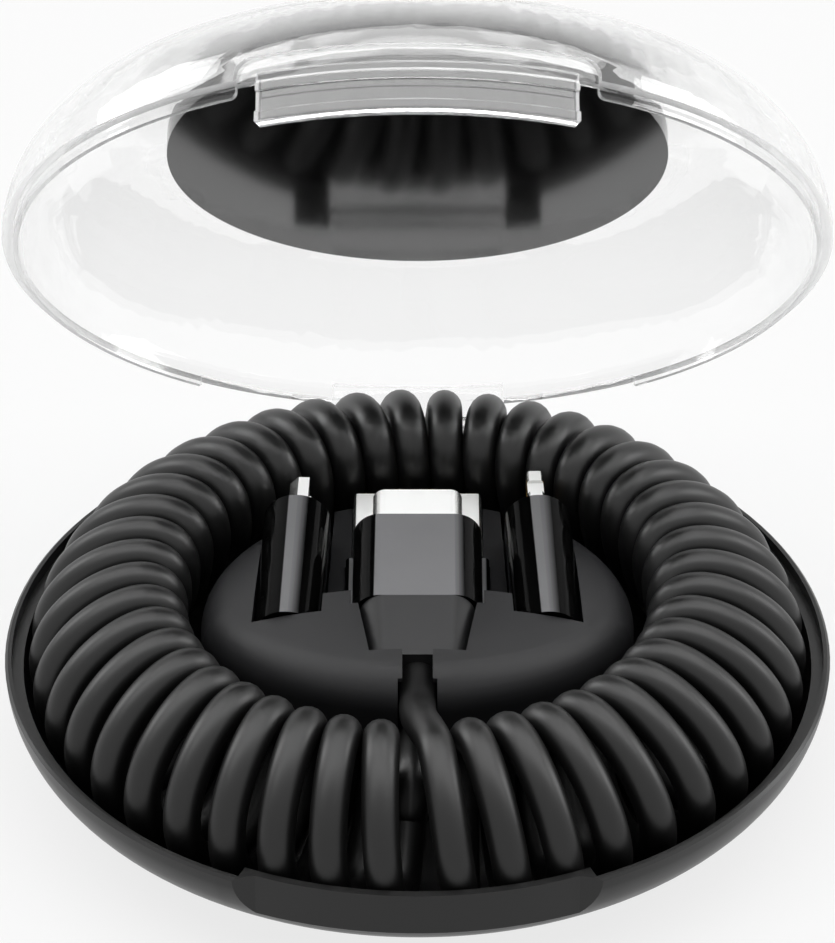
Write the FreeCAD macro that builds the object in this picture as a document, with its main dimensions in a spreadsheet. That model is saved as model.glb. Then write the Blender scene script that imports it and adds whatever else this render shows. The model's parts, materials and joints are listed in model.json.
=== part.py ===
import FreeCAD, Part
import math
import os
import Sketcher

# Round travel case with a clear hinged lid.  It holds a coiled charging cord, its two plugs and
# two tip adapters.  Millimetres; origin at the centre of the flat underside, +Z up, +Y to the hinge.

os.makedirs("parts", exist_ok=True)
doc = FreeCAD.newDocument("ChargingCable")
sheet = doc.addObject("Spreadsheet::Sheet", "Sizes")

SIZES = [
    # base bowl
    ("rim_z", 9.3), ("foot_r", 24.0), ("bowl_r", 37.5), ("bowl_curve", 7.5),
    ("bowl_foot_curve", 18.4), ("bowl_mid_in", 3.37), ("bowl_mid_z", 3.038),
    ("rim_bevel", 0.25), ("step_in", 0.6), ("step_deep", 1.1), ("bowl_wall", 1.65),
    ("floor_z", 1.2), ("cavity_curve", 5.5), ("cavity_foot_curve", 18.65),
    ("cavity_mid_in", 2.95), ("cavity_mid_z", 3.328), ("notch_in", 1.2), ("notch_deep", 4.7),
    ("notch_half_deg", 22.6), ("notch_ramp_deg", 35.0), ("notch_wall", 0.7),
    ("notch_end_deg", 24.6),
    # hinge
    ("hinge_out", 0.3), ("hinge_low", 2.6), ("ear_r", 1.7), ("ear_in_x", 8.7), ("ear_out_x", 12.2),
    ("ear_web_in", 4.2), ("hinge_notch_deep", 4.9), ("pin_r", 0.6), ("pin_play", 0.05),
    ("open_deg", 56.4), ("lug_play", 0.3), ("lug_r", 1.6), ("lug_web_in", 1.9), ("lug_web_out", 0.2),
    ("lug_high", 2.1),
    # lid
    ("lid_gap", 0.15), ("lid_over", 0.15), ("lid_wall", 1.5), ("lid_flat_r", 18.0),
    ("lid_high", 13.7), ("lid_curve", 11.0), ("lid_top_curve", 26.945), ("lid_mid_in", 5.032),
    ("lid_mid_high", 9.391), ("lid_seat_r", 23.5), ("lid_seat_high", 11.2),
    ("lid_bore_curve", 10.4), ("lid_seat_curve", 13.36), ("lid_bore_mid_in", 3.9),
    ("lid_bore_mid_high", 8.27), ("lip_play", 0.3), ("lip_deep", 0.85), ("lip_front_deg", 25.0),
    ("lip_back_deg", 35.0), ("lip_round", 0.6), ("disc_margin", 0.6), ("disc_thick", 2.0),
    ("tab_play", 0.25), ("tab_thick", 1.0), ("tab_half_deg", 21.3), ("tab_low", 4.1), ("tab_up", 0.5),
    ("tab_lip_out", 0.35), ("tab_lip_high", 0.9), ("tab_rib_low", 1.2),
    ("tab_rib_high", 0.7), ("tab_rib_out", 0.25),
    ("scoop_deep", 0.65), ("scoop_low", 0.3), ("scoop_up", 2.2), ("scoop_half_deg", 24.5),
    ("scoop_round", 1.6),
    # island
    ("island_gap", 1.75), ("island_crown", 8.3), ("island_crown_r", 50.0), ("island_crown_y", -4.0),
    ("island_edge", 3.5), ("island_front_y", 5.5), ("island_front_r", 21.3), ("island_wall", 1.65),
    ("island_deck", 3.8), ("deck_y", -2.7), ("deck_high", 2.6), ("deck_far_y", 20.0), ("deck_far_high", 2.44),
    ("slot_play", 0.1), ("throat_half_w", 1.35), ("throat_y", -14.4), ("throat_play", 0.15),
    ("seat_play", 0.1), ("adapter_play", 0.1),
    # cord
    ("cord_r", 1.65), ("coil_gap", 0.55), ("coil_half_w", 6.95), ("coil_half_h", 8.2),
    ("coil_high", 1.1), ("coil_lean", 3.0), ("lead_c_bend_y", -16.6), ("lead_c_rise", 6.1),
    ("lead_c_reach", 1.2), ("lead_a_reach", 0.1),
    # upper plug
    ("upper_half_w", 5.88), ("upper_half_h", 2.6), ("upper_corner", 2.5),
    ("upper_back_y", -4.63), ("upper_front_y", 8.0), ("upper_root_y", 5.0), ("upper_tip_y", 13.9),
    ("upper_shell_half_w", 4.125), ("upper_shell_half_h", 1.2), ("upper_shell_corner", 1.15),
    ("upper_wall", 0.28), ("upper_insert_y", 8.2), ("upper_boot_half_w", 5.25),
    ("upper_boot_half_h", 2.6), ("upper_boot_corner", 2.3), ("upper_exit_y", -11.2),
    ("upper_exit_drop", 1.2), ("upper_exit_half_w", 4.2), ("upper_exit_half_h", 2.05), ("lead_c_low", 0.4),
    ("upper_exit_corner", 1.4), ("upper_board_half_w", 4.0), ("upper_board_y", -3.0),
    # lower plug
    ("lower_high", 1.2), ("lower_half_w", 6.6), ("lower_half_h", 2.4), ("lower_corner", 0.4),
    ("lower_back_y", -4.6), ("lower_front_y", 8.3), ("lower_root_y", 4.3), ("lower_tip_y", 18.9),
    ("lower_shell_half_w", 6.0), ("lower_shell_half_h", 2.25), ("lower_shell_corner", 0.5),
    ("lower_wall", 0.3), ("tongue_half_w", 5.5), ("tongue_thick", 1.84), ("tongue_tip_y", 18.4),
    ("strip_thick", 0.15), ("strip_root_y", 9.0), ("strip_tip_y", 18.0), ("strip_w", 1.0),
    ("strip_near_x", 1.0), ("strip_far_x", 3.5), ("window", 2.5), ("window_x", 1.65),
    ("window_y", 11.3), ("lower_boot_half_w", 4.5), ("lower_boot_half_h", 2.1),
    ("lower_boot_corner", 1.0), ("lower_exit_y", -11.0), ("lower_exit_half_w", 2.5),
    ("lower_exit_half_h", 1.75), ("lower_exit_corner", 1.2),
    # adapters
    ("adapter_in", 8.11), ("adapter_high", 2.643), ("adapter_tilt_deg", 3.61), ("adapter_toe_deg", 2.2),
    ("adapter_half_w", 3.05),
    ("adapter_half_h", 4.96), ("adapter_corner", 2.95), ("adapter_back_y", -4.8),
    ("adapter_front_y", 12.0), ("tip_root_y", 9.0),
    ("socket_end_y", 2.0), ("socket_half_w", 1.58), ("socket_half_h", 4.47), ("socket_corner", 1.5),
    ("socket_wall", 0.3), ("socket_plate_y", 1.0), ("blade_half_w", 0.35), ("blade_half_h", 3.35),
    ("blade_tip_y", -3.8), ("board_half_h", 3.6), ("board_half_w", 0.4),
    ("slim_tip_y", 17.6), ("slim_half_w", 0.75), ("slim_half_h", 3.35), ("slim_corner", 0.35),
    ("slim_notch_y", 14.6), ("slim_notch_w", 1.6), ("slim_notch_deep", 0.35),
    ("slim_pad_y", 15.3), ("slim_pad_tip_y", 17.0), ("slim_pitch", 0.72), ("slim_pad_w", 0.45),
    ("pad_thick", 0.05),
    ("micro_tip_y", 16.6), ("micro_half_w", 0.9), ("micro_half_h", 3.425), ("micro_slope", 0.8),
    ("micro_wall", 0.25), ("micro_tongue_half_w", 0.25), ("micro_tongue_half_h", 2.3),
    ("micro_tongue_y", 16.0), ("micro_pitch", 0.65), ("micro_pad_w", 0.4), ("hook_out", 0.2),
    ("hook_w", 0.7), ("hook_z", 1.5), ("hook_y", 14.2), ("hook_long", 1.1),
    # contact rows
    ("row_pitch", 0.5), ("row_w", 0.25), ("row_gap", 0.5), ("row_thick", 0.15), ("row_tip_y", 12.9),
]
for row, (alias, size) in enumerate(SIZES, start=1):
    sheet.set("A%d" % row, alias)
    sheet.set("B%d" % row, str(size))
    sheet.setAlias("B%d" % row, alias)
doc.recompute()
NAMES = {alias for alias, size in SIZES}


def value(text):
    """Number for a sum such as 'foot_r - floor_z'."""
    total = 0.0
    sign = 1.0
    for token in text.split():
        if token == "+":
            sign = 1.0
        elif token == "-":
            sign = -1.0
        else:
            total += sign * (float(sheet.get(token)) if token in NAMES else float(token))
            sign = 1.0
    return total


def bound(text):
    """The same sum as an expression on the sheet."""
    words = ["Sizes." + token if token in NAMES else token for token in text.split()]
    return " ".join(words)


def less(text):
    """The sum with every sign turned."""
    words = text.split()
    if words[0] == "-":
        words = words[1:]
    else:
        words = ["-"] + words
    turned = words[:1]
    for word in words[1:]:
        turned.append({"+": "-", "-": "+"}.get(word, word))
    return " ".join(["0"] + turned) if turned[0] == "-" else " ".join(turned)


def box(name, xs, ys, zs):
    solid = doc.addObject("Part::Box", name)
    for side, axis, (low, high) in (("Length", "x", xs), ("Width", "y", ys), ("Height", "z", zs)):
        solid.setExpression(side, "(%s) - (%s)" % (bound(high), bound(low)))
        solid.setExpression("Placement.Base." + axis, bound(low))
    return solid


def rod(name, radius, low, high, axis="z", at=("0", "0")):
    """Cylinder along an axis; at holds its other two coordinates in X, Y, Z order."""
    solid = doc.addObject("Part::Cylinder", name)
    solid.setExpression("Radius", bound(radius))
    solid.setExpression("Height", "(%s) - (%s)" % (bound(high), bound(low)))
    spot = {"x": (low, at[0], at[1]), "y": (at[0], low, at[1]), "z": (at[0], at[1], low)}[axis]
    turn = {"x": (0, 1, 0), "y": (-1, 0, 0), "z": (0, 0, 1)}[axis]
    angle = 0 if axis == "z" else 90
    solid.Placement.Rotation = FreeCAD.Rotation(FreeCAD.Vector(*turn), angle)
    for letter, text in zip("xyz", spot):
        solid.setExpression("Placement.Base." + letter, bound(text))
    return solid


def cut(name, base, *tools):
    solid = doc.addObject("Part::Cut", name)
    solid.Base = base
    solid.Tool = tools[0] if len(tools) == 1 else fuse(name + "_tools", *tools)
    return solid


def fuse(name, *pieces):
    solid = doc.addObject("Part::MultiFuse", name)
    solid.Shapes = list(pieces)
    return solid


def common(name, *pieces):
    solid = doc.addObject("Part::MultiCommon", name)
    solid.Shapes = list(pieces)
    return solid


PLANES = {
    "xy": FreeCAD.Rotation(),
    "xz": FreeCAD.Rotation(FreeCAD.Vector(1, 0, 0), 90),
    "yz": FreeCAD.Rotation(FreeCAD.Vector(1, 1, 1), 120),
}
NORMALS = {"xy": (0, 0, 1), "xz": (0, 1, 0), "yz": (1, 0, 0)}


def arc_between(start, end, radius):
    """Arc of less than half a turn, counter-clockwise for a positive radius."""
    middle = (start + end) * 0.5
    chord = end - start
    rise = math.sqrt(radius * radius - chord.Length ** 2 / 4.0)
    side = FreeCAD.Vector(-chord.y, chord.x, 0).normalize()
    centre = middle + side * math.copysign(rise, radius)
    bulge = middle - centre
    peak = centre + bulge.normalize() * abs(radius) if rise > 1e-9 else middle - side * radius
    return Part.Arc(start, peak, end)


def outline(name, plane, corners):
    """Closed sketch. Each corner is (x, y, edge): edge None is a line to the next corner, a text is
    the radius of an arc to it, and a leading 'cw ' turns that arc clockwise."""
    sketch = doc.addObject("Sketcher::SketchObject", name)
    sketch.Placement = FreeCAD.Placement(FreeCAD.Vector(), PLANES[plane])
    spots = [FreeCAD.Vector(value(x), value(y), 0) for x, y, edge in corners]
    count = len(corners)
    for index, (x, y, edge) in enumerate(corners):
        start = spots[index]
        end = spots[(index + 1) % count]
        if edge is None:
            sketch.addGeometry(Part.LineSegment(start, end))
        else:
            clockwise = edge.startswith("cw ")
            size = value(edge[3:] if clockwise else edge)
            sketch.addGeometry(arc_between(start, end, -size if clockwise else size))
    ends = []
    for index, (x, y, edge) in enumerate(corners):
        turned = edge is not None and edge.startswith("cw ")
        ends.append((2, 1) if turned else (1, 2))
    for index, (x, y, edge) in enumerate(corners):
        following = (index + 1) % count
        sketch.addConstraint(
            Sketcher.Constraint("Coincident", index, ends[index][1], following, ends[following][0]))
    for index, (x, y, edge) in enumerate(corners):
        point = ends[index][0]
        for kind, axis, text in (("DistanceX", -2, x), ("DistanceY", -1, y)):
            if value(text) == 0.0:
                sketch.addConstraint(Sketcher.Constraint("PointOnObject", index, point, axis))
            else:
                made = sketch.addConstraint(
                    Sketcher.Constraint(kind, -1, 1, index, point, value(text)))
                sketch.setExpression("Constraints[%d]" % made, bound(text))
        if edge is not None:
            size = edge[3:] if edge.startswith("cw ") else edge
            made = sketch.addConstraint(Sketcher.Constraint("Radius", index, value(size)))
            sketch.setExpression("Constraints[%d]" % made, bound(size))
    return sketch


def extrude(name, plane, corners, low, high):
    sketch = outline(name + "_sketch", plane, corners)
    axis = {"xy": "z", "xz": "y", "yz": "x"}[plane]
    sketch.setExpression("Placement.Base." + axis, bound(low))
    solid = doc.addObject("Part::Extrusion", name)
    solid.Base = sketch
    solid.DirMode = "Custom"
    solid.Dir = FreeCAD.Vector(*NORMALS[plane])
    solid.setExpression("LengthFwd", "(%s) - (%s)" % (bound(high), bound(low)))
    solid.Solid = True
    return solid


def revolve(name, corners):
    solid = doc.addObject("Part::Revolution", name)
    solid.Source = outline(name + "_sketch", "xz", corners)
    solid.Axis = FreeCAD.Vector(0, 0, 1)
    solid.Angle = 360
    solid.Solid = True
    return solid


def rounded(half_w, half_h, corner):
    """Corners of a rounded rectangle about the origin."""
    flat_w = half_w + less(corner)[1:]
    flat_h = half_h + less(corner)[1:]
    return [
        (less(flat_w), less(half_h), None), (flat_w, less(half_h), corner),
        (half_w, less(flat_h), None), (half_w, flat_h, corner),
        (flat_w, half_h, None), (less(flat_w), half_h, corner),
        (less(half_w), flat_h, None), (less(half_w), less(flat_h), corner),
    ]


def oblong(half_w, low, high):
    """Corners of a plain rectangle across X from one height to another."""
    return [(less(half_w), low, None), (half_w, low, None), (half_w, high, None), (less(half_w), high, None)]


def sector(name, inner, outer, low, high, middle_deg, half_deg):
    """Ring sector about Z, centred on an angle and reaching half_deg to each side."""
    whole = rod(name + "_outer", outer, low, high)
    whole.setExpression("Angle", "2 * " + bound(half_deg))
    turn = FreeCAD.Rotation(FreeCAD.Vector(0, 0, 1), middle_deg - value(half_deg))
    whole.Placement.Rotation = turn
    return cut(name, whole, rod(name + "_inner", inner, low, high))


# ROOM is further than any cut has to reach, PAST and SHORT are how far a cut runs beyond a face, and an
# edge that stays NEAR below a top doesn't reach it.
ROOM = "30"
PAST = " + 1"
SHORT = " - 1"
NEAR = " - 0.1"
LID_RIM = "rim_z + lid_gap"
STEP_R = "bowl_r - step_in"
CAVITY_R = "bowl_r - bowl_wall"
NOTCH_R = "bowl_r - notch_in"
HINGE_Y = "bowl_r + hinge_out"
HINGE_Z = "rim_z - hinge_low"
LUG_HALF_W = "ear_in_x - lug_play"
LID_R = "bowl_r + lid_over"
LID_BORE_R = LID_R + " - lid_wall"
LIP_R = STEP_R + " - lip_play"
TAB_IN_R = NOTCH_R + " + tab_play"
TAB_OUT_R = TAB_IN_R + " + tab_thick"
DISC_R = "lid_seat_r - disc_margin"
COIL_R = CAVITY_R + " - coil_gap - coil_half_w"
COIL_IN_R = COIL_R + " - coil_half_w"
COIL_Z = "rim_z + coil_high"
ISLAND_R = COIL_IN_R + " - island_gap"
ADAPTER_X = ISLAND_R + " - adapter_in"
LOWER_Z = "rim_z + lower_high"
LOWER_FLOOR = LOWER_Z + " - lower_half_h"
LOWER_TOP = LOWER_Z + " + lower_half_h"
UPPER_Z = LOWER_TOP + " + upper_half_h"
UPPER_EXIT_Z = UPPER_Z + " - upper_exit_drop"
LEAD_C_Z = UPPER_EXIT_Z + " - lead_c_low"
nodes = []


def keep(solid, label, place=None):
    """Names a finished sub-part and puts it where it belongs."""
    solid.Label = label
    if place is not None:
        solid.Placement = place
    nodes.append(solid)
    return solid


# Base bowl: outer body with two hinge ears, hollowed by the cavity, with a notch for the lid's tab.
bowl = revolve("bowl", [
    ("0", "0", None), ("foot_r", "0", "bowl_foot_curve"),
    ("bowl_r - bowl_mid_in", "bowl_mid_z", "bowl_curve"), ("bowl_r", "rim_z - rim_bevel", None),
    ("bowl_r - rim_bevel", "rim_z", None), ("0", "rim_z", None)])
cavity = revolve("cavity", [
    ("0", "floor_z", None), ("foot_r", "floor_z", "cavity_foot_curve"),
    (CAVITY_R + " - cavity_mid_in", "cavity_mid_z", "cavity_curve"), (CAVITY_R, "rim_z - step_deep", None),
    (STEP_R, "rim_z - step_deep", None), (STEP_R, "rim_z" + PAST, None), ("0", "rim_z" + PAST, None)])
ears = []
for side, low, high in (("right", "ear_in_x", "ear_out_x"), ("left", less("ear_out_x"), less("ear_in_x"))):
    ears.append(rod("ear_" + side, "ear_r", low, high, "x", (HINGE_Y, HINGE_Z)))
    ears.append(box("ear_web_" + side, (low, high), (HINGE_Y + " - ear_web_in", HINGE_Y),
                    (HINGE_Z + " - ear_r", HINGE_Z + " + ear_r")))
hollow = cut("hollow_bowl", fuse("eared_bowl", bowl, *ears), cavity)
tab_wall = common("tab_wall", bowl, sector("tab_ring", NOTCH_R + " - notch_wall", "bowl_r",
                                           "rim_z - notch_deep", "rim_z", -90, "notch_end_deg"))
tab_notch = sector("tab_notch", NOTCH_R, "bowl_r" + PAST, "rim_z - notch_deep", "rim_z" + PAST, -90,
                   "notch_half_deg")
ramps = []
for word, side in (("left", -1), ("right", 1)):
    end_deg = -90 + side * value("notch_half_deg")
    lean_deg = end_deg - value("notch_ramp_deg") if side > 0 else end_deg - 90 + value("notch_ramp_deg")
    ramp = doc.addObject("Part::Box", "notch_ramp_" + word)
    ramp.Length = value(ROOM)
    ramp.Width = value(ROOM)
    ramp.setExpression("Height", bound("notch_deep" + PAST))
    corner = FreeCAD.Vector(value(NOTCH_R) * math.cos(math.radians(end_deg)),
                            value(NOTCH_R) * math.sin(math.radians(end_deg)), value("rim_z - notch_deep"))
    ramp.Placement = FreeCAD.Placement(corner, FreeCAD.Rotation(FreeCAD.Vector(0, 0, 1), lean_deg))
    ramps.append(ramp)
hinge_notch = box("hinge_notch", (less("ear_in_x"), "ear_in_x"),
                  (HINGE_Y + " - ear_web_in" + SHORT, HINGE_Y + " + ear_web_in"),
                  ("rim_z - hinge_notch_deep", "rim_z" + PAST))
pin_bore = rod("pin_bore", "pin_r", less("ear_out_x"), "ear_out_x", "x", (HINGE_Y, HINGE_Z))
keep(cut("base_shell", fuse("walled_bowl", hollow, tab_wall), tab_notch, *ramps, hinge_notch, pin_bore),
     "base_shell")
keep(rod("hinge_pin", "pin_r", less("ear_out_x"), "ear_out_x", "x", (HINGE_Y, HINGE_Z)), "hinge_pin")

# Clear lid, drawn closed and then swung open about the hinge.
turn_open = FreeCAD.Rotation(FreeCAD.Vector(-1, 0, 0), value("open_deg"))
hinge_spot = FreeCAD.Vector(0, value(HINGE_Y), value(HINGE_Z))
opened = FreeCAD.Placement(hinge_spot - turn_open.multVec(hinge_spot), turn_open)
dome = revolve("dome", [
    ("0", LID_RIM, None), (LID_R, LID_RIM, "lid_curve"),
    (LID_R + " - lid_mid_in", "rim_z + lid_mid_high", "lid_top_curve"),
    ("lid_flat_r", "rim_z + lid_high", None), ("0", "rim_z + lid_high", None)])
lid_bore = revolve("lid_bore", [
    ("0", "rim_z - hinge_notch_deep", None), (LID_BORE_R, "rim_z - hinge_notch_deep", None),
    (LID_BORE_R, LID_RIM, "lid_bore_curve"),
    (LID_BORE_R + " - lid_bore_mid_in", "rim_z + lid_bore_mid_high", "lid_seat_curve"),
    ("lid_seat_r", "rim_z + lid_seat_high", None), ("0", "rim_z + lid_seat_high", None)])
scoop = sector("scoop", LID_R + " - scoop_deep", LID_R + PAST, "rim_z - scoop_low", "rim_z + scoop_up", -90,
               "scoop_half_deg")
doc.recompute()


def rounded_edges(name, solid, size, wanted):
    """Rounds the edges of a solid that a test on their middle and span picks."""
    soft = doc.addObject("Part::Fillet", name)
    soft.Base = solid
    soft.Edges = [(index, value(size), value(size)) for index, edge in enumerate(solid.Shape.Edges, start=1)
                  if wanted(edge.CenterOfMass, edge.BoundBox)]
    return soft


def level(text):
    """Test for an edge that lies flat at a height and isn't an arc across the front."""
    high = value(text)
    return lambda middle, span: (abs(middle.z - high) < 1e-4 and span.ZLength < 1e-4
                                 and abs(middle.x) > value("ear_in_x") and middle.y < 0
                                 and span.XLength < value("scoop_deep" + PAST + PAST))


scoop = rounded_edges("soft_scoop", scoop, "scoop_round", level("rim_z + scoop_up"))
lip_ring = cut("lip_ring", rod("lip_outer", LIP_R, "rim_z - lip_deep", LID_RIM),
               rod("lip_inner", LID_BORE_R, "rim_z - lip_deep" + SHORT, "rim_z" + PAST))
LIP_CUT = (LID_BORE_R + SHORT, LIP_R + PAST, "rim_z - lip_deep" + SHORT, "rim_z" + PAST)
lip = cut("lip", lip_ring,
          sector("lip_front", *LIP_CUT, -90, "lip_front_deg"),
          sector("lip_back", *LIP_CUT, 90, "lip_back_deg"))
doc.recompute()
lip = rounded_edges("soft_lip", lip, "lip_round", level("rim_z - lip_deep"))
tab = sector("tab", TAB_IN_R, TAB_OUT_R, "rim_z - tab_low", "rim_z + tab_up", -90, "tab_half_deg")
tab_edge = sector("tab_edge", TAB_IN_R, TAB_OUT_R + " + tab_lip_out", "rim_z - tab_low",
                  "rim_z - tab_low + tab_lip_high", -90, "tab_half_deg")
tab_rib = sector("tab_rib", TAB_IN_R, TAB_OUT_R + " + tab_rib_out", "rim_z - tab_rib_low",
                 "rim_z - tab_rib_low + tab_rib_high", -90, "tab_half_deg")
lug_barrel = rod("lug_barrel", "lug_r", less(LUG_HALF_W), LUG_HALF_W, "x", (HINGE_Y, HINGE_Z))
lug_block = box("lug_block", (less(LUG_HALF_W), LUG_HALF_W),
                (HINGE_Y + " - lug_web_in", HINGE_Y + " + lug_web_out"), (HINGE_Z, "rim_z + lug_high"))
lug_web = cut("lug_web", lug_block, lid_bore)
lid_body = fuse("lid_body", cut("scooped_dome", dome, lid_bore, scoop), lip, tab, tab_edge,
                tab_rib, lug_barrel, lug_web)
lug_bore = rod("lug_bore", "pin_r + pin_play", less(LUG_HALF_W + PAST), LUG_HALF_W + PAST, "x",
               (HINGE_Y, HINGE_Z))
keep(cut("lid_cover", lid_body, lug_bore), "lid_cover", opened)
disc = doc.addObject("Part::Cylinder", "lid_disc")
disc.setExpression("Radius", bound(DISC_R))
disc.setExpression("Height", bound("disc_thick"))
disc_spot = FreeCAD.Vector(0, 0, value("rim_z + lid_seat_high - disc_thick"))
keep(disc, "lid_disc", opened.multiply(FreeCAD.Placement(disc_spot, FreeCAD.Rotation())))

# Adapter frame: its long axis is local Y, its tip end is tilted up and its back end is turned out.
tilt = FreeCAD.Rotation(FreeCAD.Vector(1, 0, 0), value("adapter_tilt_deg"))


def adapter_place(side):
    spot = FreeCAD.Vector(side * value(ADAPTER_X), 0, value("rim_z + adapter_high"))
    toe = FreeCAD.Rotation(FreeCAD.Vector(0, 0, 1), side * value("adapter_toe_deg"))
    return FreeCAD.Placement(spot, toe.multiply(tilt))


# Island: domed block that holds the plugs and adapters. Its front is a flatter curve than its back.
drum = rod("island_drum", ISLAND_R, "floor_z", ROOM)
crown = doc.addObject("Part::Sphere", "island_crown_ball")
crown.setExpression("Radius", bound("island_crown_r"))
crown.setExpression("Placement.Base.y", bound("island_crown_y"))
crown.setExpression("Placement.Base.z", bound("rim_z + island_crown - island_crown_r"))
front = rod("island_front", "island_front_r", "floor_z", ROOM, "z", ("0", "island_front_y"))
sharp = common("sharp_island", drum, front, crown)
doc.recompute()
brow = [index for index, edge in enumerate(sharp.Shape.Edges, start=1)
        if edge.CenterOfMass.z > value("rim_z") and edge.BoundBox.ZMax < value("rim_z + island_crown" + NEAR)]
island_body = doc.addObject("Part::Fillet", "island_body")
island_body.Base = sharp
island_body.Edges = [(index, value("island_edge"), value("island_edge")) for index in brow]
deck_cut = extrude("deck_cut", "yz", [
    ("deck_y", "rim_z + deck_high", None), ("deck_far_y", "rim_z + deck_far_high", None),
    ("deck_far_y", ROOM, None), ("deck_y", ROOM, None)], less(ADAPTER_X), ADAPTER_X)
SLOT_HALF_W = "cord_r + slot_play"
cord_slot = box("cord_slot", (less(SLOT_HALF_W), SLOT_HALF_W), (less(ISLAND_R) + SHORT, "throat_y"),
                (LOWER_Z + " - cord_r - slot_play", ROOM))
THROAT_Z = LEAD_C_Z + " + cord_r + throat_play"
cord_tunnel = box("cord_tunnel", (less(SLOT_HALF_W), SLOT_HALF_W), ("throat_y", "lower_exit_y"),
                  (LOWER_Z + " - cord_r - slot_play", THROAT_Z))
cord_throat = box("cord_throat", (less("throat_half_w"), "throat_half_w"), ("throat_y", "lower_exit_y"),
                  (LEAD_C_Z, ROOM))
LOWER_SEAT = "lower_half_w + seat_play"
lower_seat = box("lower_seat", (less(LOWER_SEAT), LOWER_SEAT),
                 ("lower_back_y - seat_play", "lower_front_y + seat_play"), (LOWER_FLOOR, LOWER_TOP))
lower_way = box("lower_way", (less(LOWER_SEAT), LOWER_SEAT), ("deck_y", "lower_front_y + seat_play"),
                (LOWER_FLOOR, ROOM))
TIP_SEAT = "lower_shell_half_w + seat_play"
tip_way = box("tip_way", (less(TIP_SEAT), TIP_SEAT), ("lower_front_y", ROOM), (LOWER_FLOOR, ROOM))
LOWER_BOOT_SEAT = "lower_boot_half_w + seat_play"
lower_boot_seat = box("lower_boot_seat", (less(LOWER_BOOT_SEAT), LOWER_BOOT_SEAT),
                      ("lower_exit_y - seat_play", "lower_back_y"), (LOWER_FLOOR, LOWER_TOP))
UPPER_SEAT = "upper_half_w + seat_play"
upper_seat = box("upper_seat", (less(UPPER_SEAT), UPPER_SEAT), ("upper_back_y - seat_play", ROOM),
                 (LOWER_TOP, ROOM))
BOOT_WIDE = "upper_boot_half_w + seat_play"
BOOT_NARROW = "upper_exit_half_w + seat_play"
BOOT_END = "upper_exit_y - seat_play"
upper_boot_seat = extrude("upper_boot_seat", "xy", [
    (less(BOOT_NARROW), BOOT_END, None), (BOOT_NARROW, BOOT_END, None),
    (BOOT_WIDE, "upper_back_y", None), (less(BOOT_WIDE), "upper_back_y", None)],
    UPPER_EXIT_Z + " - upper_exit_half_h - seat_play", ROOM)
CORE = ("floor_z" + SHORT, "rim_z - island_deck")
core = common("island_core", rod("drum_core", ISLAND_R + " - island_wall", *CORE),
              rod("front_core", "island_front_r - island_wall", *CORE, "z", ("0", "island_front_y")))
ADAPTER_SEAT = "adapter_half_w + seat_play"
adapter_seats = []
for side, word in ((1, "right"), (-1, "left")):
    seat = doc.addObject("Part::Box", "adapter_seat_" + word)
    seat.setExpression("Length", "2 * (%s)" % bound(ADAPTER_SEAT))
    seat.Width = value(ROOM)
    seat.Height = value(ROOM)
    corner = FreeCAD.Vector(-value(ADAPTER_SEAT), value("adapter_back_y - adapter_play"),
                            -value("adapter_half_h"))
    seat.Placement = adapter_place(side).multiply(FreeCAD.Placement(corner, FreeCAD.Rotation()))
    adapter_seats.append(seat)
keep(cut("plug_island", island_body, deck_cut, cord_slot, cord_tunnel, cord_throat, lower_seat,
         lower_way, tip_way, lower_boot_seat, upper_seat, upper_boot_seat, core, *adapter_seats),
     "plug_island")

# Cord: the wound part as one fat ring, and the two short leads to the plugs.
coil_r, half_w, half_h = value(COIL_R), value("coil_half_w"), value("coil_half_h")
RING_STEPS = 48
ring_points = []
for step in range(RING_STEPS):
    angle = 2 * math.pi * step / RING_STEPS
    lean = value("coil_lean") * max(math.sin(angle), 0.0) ** 2
    ring_points.append(FreeCAD.Vector(coil_r + half_w * math.cos(angle) - lean, 0,
                                      value(COIL_Z) + half_h * math.sin(angle)))
ring_curve = Part.BSplineCurve()
ring_curve.interpolate(ring_points, PeriodicFlag=True)
ring_face = Part.Face(Part.Wire(ring_curve.toShape()))
coil = doc.addObject("Part::Feature", "cord_coil")
coil.Shape = ring_face.revolve(FreeCAD.Vector(0, 0, 0), FreeCAD.Vector(0, 0, 1), 360)
keep(coil, "cord_coil")
path = doc.addObject("Part::Feature", "lead_c_path")
lead_start = FreeCAD.Vector(0, value("upper_exit_y"), value(LEAD_C_Z))
lead_bend = FreeCAD.Vector(0, value("lead_c_bend_y"), value(LEAD_C_Z))
lead_end = FreeCAD.Vector(0, -value(COIL_IN_R + " + lead_c_reach"), value(COIL_Z + " + lead_c_rise"))
run_in = (lead_bend - lead_start).normalize()
run_out = (lead_end - lead_bend).normalize()
turned = run_in.getAngle(run_out)
BEND_SHARE = 0.45
reach = BEND_SHARE * min((lead_bend - lead_start).Length, (lead_end - lead_bend).Length)
bend_radius = reach / math.tan(turned / 2)
arc_start = lead_bend - run_in * reach
arc_end = lead_bend + run_out * reach
inward = (run_out - run_in).normalize()
arc_mid = lead_bend + inward * (bend_radius / math.cos(turned / 2) - bend_radius)
path.Shape = Part.Wire([Part.makeLine(lead_start, arc_start),
                        Part.Arc(arc_start, arc_mid, arc_end).toShape(),
                        Part.makeLine(arc_end, lead_end)])
ring = doc.addObject("Part::Circle", "lead_c_section")
ring.setExpression("Radius", bound("cord_r"))
ring.Placement = FreeCAD.Placement(lead_start, FreeCAD.Rotation(FreeCAD.Vector(1, 0, 0), 90))
lead_c = doc.addObject("Part::Sweep", "cord_lead_c")
lead_c.Sections = [ring]
lead_c.Spine = (path, ["Edge1", "Edge2", "Edge3"])
lead_c.Solid = True
keep(lead_c, "cord_lead_c")
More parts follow.
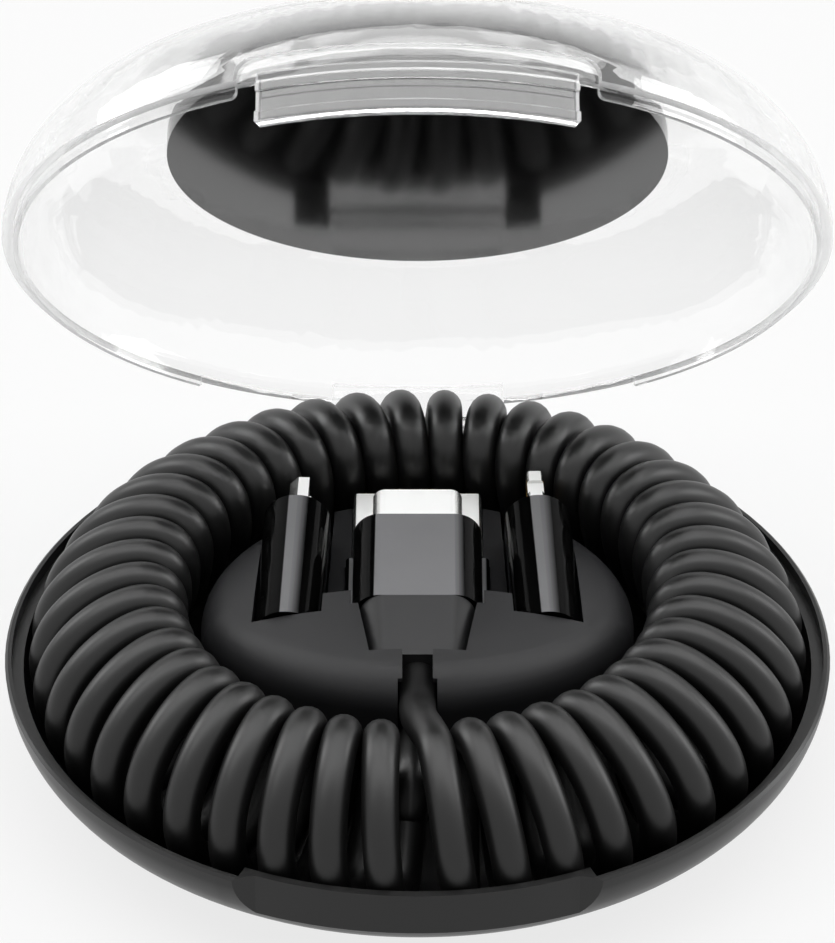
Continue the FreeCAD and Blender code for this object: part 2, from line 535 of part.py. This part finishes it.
keep(rod("cord_lead_a", "cord_r", less(COIL_IN_R + " + lead_a_reach"), "lower_exit_y", "y",
         ("0", LOWER_Z)), "cord_lead_a")


def tube(name, half_w, half_h, corner, wall, low, high):
    """Thin drawn shell open at both ends."""
    outer = extrude(name + "_outside", "xz", rounded(half_w, half_h, corner), low, high)
    inner = extrude(name + "_inside", "xz",
                    rounded(half_w + " - " + wall, half_h + " - " + wall, corner + " - " + wall), low, high)
    return cut(name, outer, inner)


def boot(name, wide, end, low, high, drop):
    """Tapered strain relief from the plug's back to the cord."""
    front = outline(name + "_front", "xz", rounded(*wide))
    front.setExpression("Placement.Base.y", bound(low))
    back = outline(name + "_back", "xz", rounded(*end))
    back.setExpression("Placement.Base.y", bound(high))
    back.setExpression("Placement.Base.z", bound(drop))
    solid = doc.addObject("Part::Loft", name)
    solid.Sections = [front, back]
    solid.Solid = True
    solid.Ruled = True
    return solid


def row_of(name, count, pitch, width, thick_pairs, low, high, upright):
    """Flat contacts side by side, once for each thickness range."""
    strips = []
    for row, (near, far) in enumerate(thick_pairs):
        for index in range(count):
            shift = repr(index - (count - 1) / 2.0)
            strip = doc.addObject("Part::Box", "%s_%d_%d" % (name, row, index))
            across, thick = ("z", "x") if upright else ("x", "z")
            sides = {"x": "Length", "z": "Height"}
            strip.setExpression(sides[across], bound(width))
            strip.setExpression(sides[thick], "(%s) - (%s)" % (bound(far), bound(near)))
            strip.setExpression("Width", "(%s) - (%s)" % (bound(high), bound(low)))
            middle = "%s * %s - %s / 2" % (shift, bound(pitch), bound(width))
            strip.setExpression("Placement.Base." + across, middle)
            strip.setExpression("Placement.Base." + thick, bound(near))
            strip.setExpression("Placement.Base.y", bound(low))
            strips.append(strip)
    return fuse(name, *strips)


# Contacts in one row of each connector.
ROW_COUNT = 12
SLIM_COUNT = 8
MICRO_COUNT = 5

# Upper plug: flat reversible tip.
upper = FreeCAD.Placement(FreeCAD.Vector(0, 0, value(UPPER_Z)), FreeCAD.Rotation())
SHELL = ("upper_shell_half_w", "upper_shell_half_h", "upper_shell_corner")
INNER = tuple(text + " - upper_wall" for text in SHELL)
keep(tube("upper_shell", *SHELL, "upper_wall", "upper_root_y", "upper_tip_y"), "upper_plug_shell", upper)
keep(extrude("upper_insert", "xz", rounded(*INNER), "upper_root_y", "upper_insert_y"), "upper_plug_insert",
     upper)
ROW_FAR = "row_gap + row_thick"
keep(row_of("upper_contacts", ROW_COUNT, "row_pitch", "row_w",
            (("row_gap", ROW_FAR), (less(ROW_FAR), less("row_gap"))), "upper_insert_y", "row_tip_y", False),
     "upper_plug_contacts", upper)
upper_block = extrude("upper_block", "xz", rounded("upper_half_w", "upper_half_h", "upper_corner"),
                      "upper_back_y", "upper_front_y")
upper_mouth = extrude("upper_mouth", "xz", rounded(*SHELL), "upper_root_y", "upper_front_y")
UPPER_BOARD = oblong("upper_board_half_w", less("board_half_w"), "board_half_w")
room = extrude("upper_board_room", "xz", UPPER_BOARD, "upper_board_y", "upper_root_y")
keep(extrude("upper_board", "xz", UPPER_BOARD, "upper_board_y", "upper_root_y"), "upper_plug_board", upper)
keep(cut("upper_housing", upper_block, upper_mouth, room), "upper_plug_housing", upper)
keep(boot("upper_boot", ("upper_boot_half_w", "upper_boot_half_h", "upper_boot_corner"),
          ("upper_exit_half_w", "upper_exit_half_h", "upper_exit_corner"), "upper_back_y", "upper_exit_y",
          "0 - upper_exit_drop"), "upper_plug_boot", upper)

# Lower plug: wide tip with a tongue under its top wall.
lower = FreeCAD.Placement(FreeCAD.Vector(0, 0, value(LOWER_Z)), FreeCAD.Rotation())
LOWER_SHELL = ("lower_shell_half_w", "lower_shell_half_h", "lower_shell_corner")
windows = []
for word, low in (("right", "window_x"), ("left", "0 - window_x - window")):
    windows.append(box("window_" + word, (low, low + " + window"), ("window_y", "window_y + window"),
                       ("0 - lower_half_h", "lower_half_h")))
keep(cut("lower_shell", tube("lower_tube", *LOWER_SHELL, "lower_wall", "lower_root_y", "lower_tip_y"),
         *windows), "lower_plug_shell", lower)
TONGUE_TOP = "lower_shell_half_h - lower_wall"
TONGUE_LOW = TONGUE_TOP + " - tongue_thick"
keep(extrude("lower_tongue", "xz", oblong("tongue_half_w", TONGUE_LOW, TONGUE_TOP), "lower_root_y",
             "tongue_tip_y"), "lower_plug_tongue", lower)
strips = []
for name, middle in (("one", "0 - strip_far_x"), ("two", "0 - strip_near_x"), ("three", "strip_near_x"),
                     ("four", "strip_far_x")):
    strips.append(box("strip_" + name, (middle + " - strip_w / 2", middle + " + strip_w / 2"),
                      ("strip_root_y", "strip_tip_y"), (TONGUE_LOW + " - strip_thick", TONGUE_LOW)))
keep(fuse("lower_contacts", *strips), "lower_plug_contacts", lower)
lower_block = extrude("lower_block", "xz", rounded("lower_half_w", "lower_half_h", "lower_corner"),
                      "lower_back_y", "lower_front_y")
lower_mouth = extrude("lower_mouth", "xz", rounded(*LOWER_SHELL), "lower_root_y", "lower_front_y")
keep(cut("lower_housing", lower_block, lower_mouth), "lower_plug_housing", lower)
keep(boot("lower_boot", ("lower_boot_half_w", "lower_boot_half_h", "lower_boot_corner"),
          ("lower_exit_half_w", "lower_exit_half_h", "lower_exit_corner"), "lower_back_y", "lower_exit_y",
          "0"), "lower_plug_boot", lower)


def adapter(word, side, tip_seat):
    """Housing, socket and board that both adapters share."""
    place = adapter_place(side)
    socket = ("socket_half_w", "socket_half_h", "socket_corner")
    inside = tuple(text + " - socket_wall" for text in socket)
    block = extrude(word + "_block", "xz", rounded("adapter_half_w", "adapter_half_h", "adapter_corner"),
                    "adapter_back_y", "adapter_front_y")
    mouth = extrude(word + "_mouth", "xz", rounded(*socket), "adapter_back_y", "socket_end_y")
    board = oblong("board_half_w", less("board_half_h"), "board_half_h")
    room = extrude(word + "_board_room", "xz", board, "socket_end_y", "tip_root_y")
    keep(cut(word + "_housing", block, mouth, tip_seat, room), word + "_housing", place)
    keep(extrude(word + "_board", "xz", board, "socket_end_y", "tip_root_y"), word + "_board", place)
    keep(tube(word + "_socket_shell", *socket, "socket_wall", "adapter_back_y", "socket_end_y"),
         word + "_socket_shell", place)
    plate = extrude(word + "_plate", "xz", rounded(*inside), "socket_plate_y", "socket_end_y")
    blade = box(word + "_blade", (less("blade_half_w"), "blade_half_w"), ("blade_tip_y", "socket_end_y"),
                (less("blade_half_h"), "blade_half_h"))
    keep(fuse(word + "_socket_tongue", plate, blade), word + "_socket_tongue", place)
    far = "blade_half_w + pad_thick"
    keep(row_of(word + "_socket_contacts", ROW_COUNT, "row_pitch", "row_w",
                (("blade_half_w", far), (less(far), less("blade_half_w"))), "blade_tip_y + row_gap",
                "socket_plate_y", True), word + "_socket_contacts", place)
    return place


# Right adapter: slim blade tip with flush pads.
SLIM = ("slim_half_w", "slim_half_h", "slim_corner")
slim_seat = extrude("slim_seat", "xz", rounded(*SLIM), "tip_root_y", "adapter_front_y")
right_place = adapter("slim_adapter", 1, slim_seat)
notches = []
for word, low, high in (("top", "slim_half_h - slim_notch_deep", "slim_half_h" + PAST),
                        ("low", "0 - slim_half_h" + SHORT, "0 - slim_half_h + slim_notch_deep")):
    notches.append(box("slim_notch_" + word, ("0" + SHORT, "0" + PAST),
                       ("slim_notch_y", "slim_notch_y + slim_notch_w"), (low, high)))
keep(cut("slim_tip", extrude("slim_bar", "xz", rounded(*SLIM), "tip_root_y", "slim_tip_y"), *notches),
     "slim_adapter_tip", right_place)
PAD_FAR = "slim_half_w + pad_thick"
keep(row_of("slim_pads", SLIM_COUNT, "slim_pitch", "slim_pad_w",
            (("slim_half_w", PAD_FAR), (less(PAD_FAR), less("slim_half_w"))), "slim_pad_y", "slim_pad_tip_y",
            True), "slim_adapter_pads", right_place)

# Left adapter: small trapezoid shell with a tongue and two latch hooks.


def trapezoid(inset):
    """Shell section with two sloped corners on its -X side."""
    half_w = "micro_half_w" + inset
    half_h = "micro_half_h" + inset
    slope = " - micro_slope"
    return [
        (less(half_w), less(half_h + slope), None), (less(half_w + slope), less(half_h), None),
        (half_w, less(half_h), None), (half_w, half_h, None), (less(half_w + slope), half_h, None),
        (less(half_w), half_h + slope, None),
    ]


INSET = " - micro_wall"
micro_seat = extrude("micro_seat", "xz", trapezoid(""), "tip_root_y", "adapter_front_y")
left_place = adapter("micro_adapter", -1, micro_seat)
micro_outside = extrude("micro_outside", "xz", trapezoid(""), "tip_root_y", "micro_tip_y")
micro_inside = extrude("micro_inside", "xz", trapezoid(INSET), "tip_root_y", "micro_tip_y")
keep(cut("micro_shell", micro_outside, micro_inside), "micro_adapter_shell", left_place)
micro_plug = extrude("micro_plug", "xz", trapezoid(INSET), "tip_root_y", "adapter_front_y")
micro_blade = box("micro_blade", (less("micro_tongue_half_w"), "micro_tongue_half_w"),
                  ("tip_root_y", "micro_tongue_y"), (less("micro_tongue_half_h"), "micro_tongue_half_h"))
keep(fuse("micro_tongue", micro_plug, micro_blade), "micro_adapter_tongue", left_place)
keep(row_of("micro_contacts", MICRO_COUNT, "micro_pitch", "micro_pad_w",
            (("micro_tongue_half_w", "micro_tongue_half_w + pad_thick"),), "adapter_front_y",
            "micro_tongue_y", True), "micro_adapter_contacts", left_place)
hooks = []
for word, low in (("top", "hook_z"), ("low", "0 - hook_z - hook_w")):
    hooks.append(box("hook_" + word, ("micro_half_w", "micro_half_w + hook_out"),
                     ("hook_y", "hook_y + hook_long"), (low, low + " + hook_w")))
keep(fuse("micro_hooks", *hooks), "micro_adapter_hooks", left_place)

doc.recompute()
for thing in doc.Objects:
    if "Invalid" in thing.State or "Error" in thing.State:
        raise RuntimeError("not built: " + thing.Name)
for node in nodes:
    if node.Shape.isNull() or not node.Shape.isValid() or not node.Shape.Solids:
        raise RuntimeError("bad shape: " + node.Label)
    node.Shape.exportStep("parts/%s.step" % node.Label)
    size = node.Shape.BoundBox
    print("%-30s %9.2f  x %.2f %.2f  y %.2f %.2f  z %.2f %.2f" % (
        node.Label, node.Shape.Volume, size.XMin, size.XMax, size.YMin, size.YMax, size.ZMin, size.ZMax))
print("lead_c radius %.2f length %.2f" % (bend_radius, path.Shape.Length))
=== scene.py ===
import json
import math
import bpy
from mathutils import Matrix, Vector


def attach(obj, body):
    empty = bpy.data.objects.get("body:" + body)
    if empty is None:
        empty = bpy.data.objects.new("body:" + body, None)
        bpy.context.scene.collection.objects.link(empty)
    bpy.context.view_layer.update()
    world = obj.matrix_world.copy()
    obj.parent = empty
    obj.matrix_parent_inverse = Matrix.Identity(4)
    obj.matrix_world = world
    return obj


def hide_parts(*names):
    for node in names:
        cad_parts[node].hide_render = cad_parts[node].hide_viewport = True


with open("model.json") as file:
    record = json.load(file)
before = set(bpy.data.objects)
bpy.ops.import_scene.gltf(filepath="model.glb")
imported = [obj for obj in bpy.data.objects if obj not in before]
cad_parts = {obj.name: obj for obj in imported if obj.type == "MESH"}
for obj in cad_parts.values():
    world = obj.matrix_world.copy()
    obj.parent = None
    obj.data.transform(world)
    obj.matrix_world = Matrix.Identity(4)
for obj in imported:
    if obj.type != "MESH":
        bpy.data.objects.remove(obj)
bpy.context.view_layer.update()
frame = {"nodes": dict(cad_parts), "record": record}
nodes = frame["nodes"]
scene = bpy.context.scene
MM = 0.001

# Materials

# Sockets of the Mix node: its factor, its pair of numbers, its pair of colours, and what comes out.
FACTOR = 0
NUMBER_A = 2
NUMBER_B = 3
COLOUR_A = 6
COLOUR_B = 7
NUMBER_OUT = 0
COLOUR_OUT = 2
# Depth of a grain as a share of its width.
GRAIN_DEPTH = 0.02
# Height of the normal from which a face starts to count as an upper one and take painted light, and at which
# it fully does.
UPPER = (0.85, 0.93)
WHITE = "f8f8f8"


def linear(text):
    """sRGB hex to a linear colour."""
    parts = [int(text[i:i + 2], 16) / 255.0 for i in (0, 2, 4)]
    return tuple(p / 12.92 if p <= 0.04045 else ((p + 0.055) / 1.055) ** 2.4 for p in parts) + (1.0,)


def add(tree, kind, settings=None, links=None):
    """Adds a shader node, sets its attributes or sockets by name and links its inputs."""
    made = tree.nodes.new(kind)
    for key, amount in (settings or {}).items():
        if isinstance(key, str) and hasattr(made, key):
            setattr(made, key, amount)
        else:
            made.inputs[key].default_value = amount
    for key, source in (links or {}).items():
        tree.links.new(source, made.inputs[key])
    return made


def painted_light_mask(tree, normal, face):
    """Mask for painted light: 1 on upper faces, fading to 0 over the face's spans of normals to the left and
    right.
    """
    side = add(tree, "ShaderNodeSeparateXYZ", None, {0: normal})
    mask = add(tree, "ShaderNodeMapRange", {"From Min": UPPER[0], "From Max": UPPER[1]},
               {"Value": side.outputs["Z"]}).outputs["Result"]
    for outside, inside in (face["left"], face["right"]):
        end = add(tree, "ShaderNodeMapRange", {"From Min": outside, "From Max": inside},
                  {"Value": side.outputs["X"]})
        mask = add(tree, "ShaderNodeMath", {"operation": "MULTIPLY"},
                   {0: mask, 1: end.outputs["Result"]}).outputs[0]
    return mask


def material(name, dark, light, rough, grain_mm, bump=0.1, patch_mm=9.0, face=None, **extra):
    """Grained surface: colour and roughness vary over patches and bump over grains, sized in millimetres.
    A face is painted light on upper faces: two colours, a roughness and where it ends, and no metal."""
    made = bpy.data.materials.new(name)
    made.use_nodes = True
    tree = made.node_tree
    tree.nodes.clear()
    place = add(tree, "ShaderNodeTexCoord")
    grain = add(tree, "ShaderNodeTexNoise", {"Scale": 1.0 / (grain_mm * MM), "Detail": 3.0},
                {"Vector": place.outputs["Object"]})
    patch = add(tree, "ShaderNodeTexNoise", {"Scale": 1.0 / (patch_mm * MM), "Detail": 2.0},
                {"Vector": place.outputs["Object"]})
    colour = add(tree, "ShaderNodeMix",
                 {"data_type": "RGBA", COLOUR_A: linear(dark), COLOUR_B: linear(light)},
                 {FACTOR: patch.outputs["Fac"]}).outputs[COLOUR_OUT]
    shine = add(tree, "ShaderNodeMapRange", {"To Min": rough[0], "To Max": rough[1]},
                {"Value": patch.outputs["Fac"]}).outputs["Result"]
    relief = add(tree, "ShaderNodeBump", {"Strength": bump, "Distance": GRAIN_DEPTH * grain_mm * MM},
                 {"Height": grain.outputs["Fac"]})
    body = add(tree, "ShaderNodeBsdfPrincipled", extra, {"Normal": relief.outputs["Normal"]})
    # Painted light: upper faces take the face's colours and roughness, and no metal, in place of the grained
    # ones.
    if face:
        mask = painted_light_mask(tree, place.outputs["Normal"], face)
        upper = add(tree, "ShaderNodeMix",
                    {"data_type": "RGBA", COLOUR_A: linear(face["dark"]), COLOUR_B: linear(face["light"])},
                    {FACTOR: patch.outputs["Fac"]}).outputs[COLOUR_OUT]
        colour = add(tree, "ShaderNodeMix", {"data_type": "RGBA"},
                     {FACTOR: mask, COLOUR_A: colour, COLOUR_B: upper}).outputs[COLOUR_OUT]
        shine = add(tree, "ShaderNodeMix", {"data_type": "FLOAT", NUMBER_B: face["rough"]},
                    {FACTOR: mask, NUMBER_A: shine}).outputs[NUMBER_OUT]
        metal = add(tree, "ShaderNodeMix",
                    {"data_type": "FLOAT", NUMBER_A: extra.get("Metallic", 0.0), NUMBER_B: 0.0},
                    {FACTOR: mask}).outputs[NUMBER_OUT]
        tree.links.new(metal, body.inputs["Metallic"])
    tree.links.new(colour, body.inputs["Base Color"])
    tree.links.new(shine, body.inputs["Roughness"])
    add(tree, "ShaderNodeOutputMaterial", None, {"Surface": body.outputs["BSDF"]})
    return made


def overlay(tree, share, shader):
    """Mixes another shader over what a material shows, by that share."""
    surface = next(n for n in tree.nodes if n.type == "OUTPUT_MATERIAL").inputs["Surface"]
    under = surface.links[0].from_socket
    mixed = add(tree, "ShaderNodeMixShader", None, {0: share, 1: under, 2: shader})
    tree.links.new(mixed.outputs[0], surface)


def seen_rays(tree):
    """1 for what the camera sees, also through the lid or in a shine, and 0 for what lights the object."""
    rays = add(tree, "ShaderNodeLightPath")
    seen = rays.outputs["Is Camera Ray"]
    for kind in ("Is Transmission Ray", "Is Glossy Ray"):
        seen = add(tree, "ShaderNodeMath", {"operation": "MAXIMUM"},
                   {0: seen, 1: rays.outputs[kind]}).outputs[0]
    return seen


# The grain of the moulded and extruded plastics is finer than a tenth of a millimetre. It is drawn at about
# three tenths, so that it shows.

# Moulded polypropylene: near black, with a soft sheen along the bowl's curve.
case_black = material("moulded_black_polypropylene", "080808", "0d0d0d", (0.3, 0.38), 0.35, 0.2,
                      **{"Specular IOR Level": 0.4})

# Moulded ABS with an etched grain: dark grey and dull.
island_grey = material("matte_moulded_grey_abs", "18181a", "1e1e1f", (0.5, 0.6), 0.25, 0.3,
                       **{"Specular IOR Level": 0.35})

# Extruded TPE jacket: near black, with a broad soft highlight along each turn.
cord_black = material("matte_extruded_tpe_jacket", "0a0a0a", "0f0f0f", (0.36, 0.43), 0.3, 0.25,
                      **{"Specular IOR Level": 0.45})

# Overmoulded TPE: dull, with painted light on its upper face, which is coloured a little paler.
PAINTED_TOP_LIGHT = {"dark": "282829", "light": "2e2e2f", "rough": 0.55, "left": (-0.3, -0.1), "right": (0.3, 0.1)}
boot_grey = material("matte_overmoulded_tpe", "0e0e0f", "141415", (0.5, 0.6), 0.25, 0.4, face=PAINTED_TOP_LIGHT,
                     **{"Specular IOR Level": 0.35})

# Polished ABS: black sides, and a painted highlight on the upper face, a grey satin colour standing in for a
# softbox's reflection and fading over the right edge.
PAINTED_HIGHLIGHT = {"dark": "6e6e6f", "light": "78787a", "rough": 0.4, "left": (-0.21, -0.18), "right": (0.34, 0.02)}
gloss_black = material("polished_black_abs", "030303", "060606", (0.05, 0.09), 2.5, 0.03, face=PAINTED_HIGHLIGHT,
                       **{"Specular IOR Level": 0.04})

# Polished acrylic: a dark mirror in which the coil shows.
disc_black = material("polished_black_acrylic", "030303", "060606", (0.1, 0.13), 2.5, 0.03,
                      **{"IOR": 1.85})

# Polished polycarbonate: clear, with a hard shine, and a painted reflection that makes it pale where it is
# seen along its surface.
clear = material("polished_clear_polycarbonate", "fdfdfd", "ffffff", (0.01, 0.02), 6.0, 0.02,
                 **{"Transmission Weight": 1.0, "IOR": 1.45, "Coat Weight": 0.3, "Coat IOR": 1.6,
                    "Coat Roughness": 0.02})
# Painted reflection: translucent and diffuse pale white, mixed in more as the lid is seen along its surface,
# stands in for the light its walls reflect at a slant.
PALE = "fafafa"
PALE_SPAN = (0.35, 0.9)
PALE_MOST = 0.3
clear_tree = clear.node_tree
slant = add(clear_tree, "ShaderNodeLayerWeight", {"Blend": 0.5})
pale_share = add(clear_tree, "ShaderNodeMapRange",
                 {"From Min": PALE_SPAN[0], "From Max": PALE_SPAN[1], "To Min": 0.0, "To Max": PALE_MOST},
                 {"Value": slant.outputs["Facing"]})
painted_glare_translucent = add(clear_tree, "ShaderNodeBsdfTranslucent", {"Color": linear(PALE)})
gleam = add(clear_tree, "ShaderNodeBsdfDiffuse", {"Color": linear(PALE)})
painted_edge_glare = add(clear_tree, "ShaderNodeMixShader", {0: 0.5}, {1: painted_glare_translucent.outputs[0], 2: gleam.outputs[0]})
overlay(clear_tree, pale_share.outputs["Result"], painted_edge_glare.outputs[0])
# Lamps shine through the lid.
lamp_rays = add(clear_tree, "ShaderNodeLightPath")
lamp_through = add(clear_tree, "ShaderNodeBsdfTransparent", {"Color": linear("f4f5f5")})
overlay(clear_tree, lamp_rays.outputs["Is Shadow Ray"], lamp_through.outputs[0])

# Nickel plate with a satin finish: metal sides, and a painted highlight on upper faces, which are coloured
# near white and not metal.
PAINTED_WHITE_TOP = {"dark": "fafaf8", "light": "ffffff", "rough": 0.45, "left": (-0.5, -0.4), "right": (0.5, 0.4)}
nickel = material("satin_nickel_plated_steel", "d8d8d6", "e2e2e0", (0.22, 0.3), 0.8, 0.05, face=PAINTED_WHITE_TOP,
                  **{"Metallic": 1.0})

# Gold plate: warm and bright.
gold = material("gold_plated_bronze", "d8b060", "e6c27a", (0.2, 0.3), 0.5, 0.05, **{"Metallic": 1.0})

# Moulded LCP: dull and dark behind the contacts.
insert = material("moulded_black_lcp", "141415", "1c1c1d", (0.45, 0.55), 0.3, 0.2)

# Solder mask: dark green with a low gloss.
board = material("solder_masked_board", "163a22", "1e4a2c", (0.3, 0.45), 0.6, 0.1)

# Drawn steel: plain grey with a soft shine.
steel = material("drawn_steel_pin", "a8a8a8", "b8b8b8", (0.25, 0.35), 0.4, 0.1, **{"Metallic": 1.0})

# Case, island, plugs and adapters

FINISH = {
    "case_plastic": case_black, "island_plastic": island_grey, "clear_plastic": clear,
    "gloss_black": gloss_black, "cord_jacket": cord_black, "boot_rubber": boot_grey,
    "insert_plastic": insert, "nickel": nickel, "gold_contact": gold, "board": board, "pin_steel": steel,
}
SHARP_EDGE = math.radians(28.0)
# Normals are weighed by area, so that flat faces stay flat where they run into curves.
for row in frame["record"]["subparts"]:
    piece = nodes[row["node"]]
    if "custom_normal" in piece.data.attributes:
        piece.data.attributes.remove(piece.data.attributes["custom_normal"])
    piece.data.materials.clear()
    piece.data.materials.append(FINISH[row["material_slot"]])
    piece.data.shade_smooth()
    piece.data.set_sharp_from_angle(angle=SHARP_EDGE)
    flats = piece.modifiers.new("flat_faces", "WEIGHTED_NORMAL")
    flats.keep_sharp = True

# Label disc: a film of air keeps its back apart from the open lid that it lies on.
LID_OPEN = math.radians(56.4)
AIR = 0.05
off_lid = Vector((0.0, -math.sin(LID_OPEN), -math.cos(LID_OPEN))) * AIR * MM
disc = nodes["lid_disc"].copy()
disc.name = "label_disc"
disc.data = nodes["lid_disc"].data.copy()
disc.data.transform(Matrix.Translation(off_lid))
disc.data.materials[0] = disc_black
scene.collection.objects.link(disc)
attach(disc, "lid")
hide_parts("lid_disc")

# Cord, in mm: lead from the upper plug, wound turns, lead to the lower plug

CORD = 3.3
# The ring's middle circle, and the oval that each turn runs around it with its top leaning in.
RING_R = 29.1
RING_Z = 10.4
TURN_HALF_W = 5.3
TURN_HALF_H = 6.55
TOP_LEAN = 3.75
# Share of a turn from its inner side to its top, the first top's angle on the ring, and the step to the next.
TOP_SHARE = 0.25
FIRST_DEG = -86.5
STEP_DEG = 8.125
# Turns run at the end of the upper lead and at the start of the lower one.
FIRST_TURN = 0.22
LAST_TURN = 43.86
POINTS_PER_TURN = 24
# The cord runs inside its control points, which are set further out to make up for it.
SWELL = 1.0 / math.cos(math.pi / POINTS_PER_TURN)


def wound(turn):
    """Control point on the wound cord after that many turns from the inner side."""
    around = math.radians(180.0 - 360.0 * turn)
    lean = TOP_LEAN * (0.5 + 0.5 * math.sin(around)) ** 2
    r = RING_R + SWELL * TURN_HALF_W * math.cos(around) - lean
    z = RING_Z + SWELL * TURN_HALF_H * math.sin(around)
    azimuth = math.radians(FIRST_DEG + STEP_DEG * (turn - TOP_SHARE))
    return (r * math.cos(azimuth), r * math.sin(azimuth), z)


# The lead from the upper plug climbs on to the first turn.
UPPER_Z = 13.9
upper_lead = [(0.0, -11.2, UPPER_Z), (0.0, -12.8, UPPER_Z), (0.0, -14.6, UPPER_Z), (0.0, -16.2, 14.0),
              (0.1, -18.0, 14.55), (0.4, -20.0, 15.4), (0.8, -22.0, 16.25)]
turn_points = round((LAST_TURN - FIRST_TURN) * POINTS_PER_TURN)
turns = [wound(FIRST_TURN + index / POINTS_PER_TURN) for index in range(turn_points)]

# The last turn comes up and bends in to the lower plug.
LOWER_Z = 10.5
BEND_R = 3.4
BEND_STEPS = 5
BEND_X = -0.8
BEND_X_SHIFT = 0.5
BEND_Y = -23.0
bend = []
for step in range(BEND_STEPS + 1):
    share = step / BEND_STEPS
    bent = share * math.radians(90.0)
    bend.append((BEND_X + BEND_X_SHIFT * share, BEND_Y + BEND_R * (1.0 - math.cos(bent)),
                 LOWER_Z - BEND_R * (1.0 - math.sin(bent))))
lower_lead = [(-0.15, -17.5, LOWER_Z), (0.0, -15.0, LOWER_Z), (0.0, -13.0, LOWER_Z), (0.0, -11.0, LOWER_Z)]
route = upper_lead + turns + bend + lower_lead

curve = bpy.data.curves.new("charging_cord", "CURVE")
curve.dimensions = "3D"
curve.bevel_depth = 0.5 * CORD * MM
curve.bevel_resolution = 8
curve.resolution_u = 4
curve.use_fill_caps = True
spline = curve.splines.new("NURBS")
spline.points.add(len(route) - 1)
for point, (x, y, z) in zip(spline.points, route):
    point.co = (x * MM, y * MM, z * MM, 1.0)
spline.order_u = 3
spline.use_endpoint_u = True
cord = bpy.data.objects.new("charging_cord", curve)
scene.collection.objects.link(cord)
curve.materials.append(cord_black)
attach(cord, "base")
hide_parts("cord_coil", "cord_lead_c", "cord_lead_a")

# Floor, in metres: white to the camera, with the object's shadow in the share that lamps light

FLOOR_HALF = 3.0
FLOOR_GLOW = 0.85
corners = [(x * FLOOR_HALF, y * FLOOR_HALF, 0.0) for x, y in ((-1, -1), (1, -1), (1, 1), (-1, 1))]
floor_mesh = bpy.data.meshes.new("studio_floor")
floor_mesh.from_pydata(corners, [], [(0, 1, 2, 3)])
floor = bpy.data.objects.new("studio_floor", floor_mesh)
scene.collection.objects.link(floor)
# Painted board: even white, with hardly a grain.
sweep = material("white_studio_sweep", "f6f6f6", WHITE, (0.7, 0.8), 20.0, 0.02, 200.0)
sweep_tree = sweep.node_tree
glow_share = add(sweep_tree, "ShaderNodeMath", {"operation": "MULTIPLY", 1: FLOOR_GLOW},
                 {0: seen_rays(sweep_tree)})
glow = add(sweep_tree, "ShaderNodeEmission", {"Color": linear(WHITE), "Strength": 1.0})
overlay(sweep_tree, glow_share.outputs[0], glow.outputs[0])
floor_mesh.materials.append(sweep)

# Lights, in metres and watts


def softbox(name, place, aim, size, power):
    """Rectangular lamp at a place, facing its aim."""
    light = bpy.data.lights.new(name, "AREA")
    light.shape = "RECTANGLE"
    light.size, light.size_y = size
    light.energy = power
    made = bpy.data.objects.new(name, light)
    made.location = place
    made.rotation_euler = (Vector(aim) - Vector(place)).to_track_quat("-Z", "Y").to_euler()
    scene.collection.objects.link(made)
    return made


lights = [
    softbox("top_softbox", (0.0, -0.07, 0.8), (0, 0, 0), (1.9, 0.32), 6.0),
    softbox("back_softbox", (0.0, 0.3, 0.75), (0, 0, 0.02), (1.2, 0.3), 3.2),
    softbox("left_softbox", (-0.6, 0.35, 0.35), (0, 0, 0.02), (0.25, 0.4), 1.4),
    softbox("right_softbox", (0.65, 0.2, 0.3), (0, 0, 0.02), (0.25, 0.4), 1.4),
]

# World: white where it is seen, and a weak fill on the object

FILL = 0.1
world = bpy.data.worlds.new("studio")
scene.world = world
world.use_nodes = True
sky = world.node_tree
sky.nodes.clear()
shown_sky = add(sky, "ShaderNodeBackground", {"Color": linear(WHITE), "Strength": 1.0})
fill_sky = add(sky, "ShaderNodeBackground", {"Color": linear("ffffff"), "Strength": FILL})
mixed_sky = add(sky, "ShaderNodeMixShader", None,
                {0: seen_rays(sky), 1: fill_sky.outputs[0], 2: shown_sky.outputs[0]})
add(sky, "ShaderNodeOutputWorld", None, {"Surface": mixed_sky.outputs[0]})

# Camera at the photograph's angle: its focal length in pixels, and the rows of pixels that it shows

FOCAL_PIXELS = 5140.0
PIXEL_ROWS = 943.0
SENSOR_MM = 36.0
LOOK_DOWN_DEG = 34.55
lens = bpy.data.cameras.new("photo_camera")
lens.sensor_fit = "VERTICAL"
lens.sensor_height = SENSOR_MM
lens.lens = SENSOR_MM * FOCAL_PIXELS / PIXEL_ROWS
lens.clip_start = 0.01
lens.clip_end = 20.0
camera = bpy.data.objects.new("photo_camera", lens)
camera.location = (0.0, -0.3766, 0.2876)
camera.rotation_euler = (math.radians(90.0 - LOOK_DOWN_DEG), 0.0, 0.0)
scene.collection.objects.link(camera)
scene.camera = camera
scene.view_settings.view_transform = "Standard"
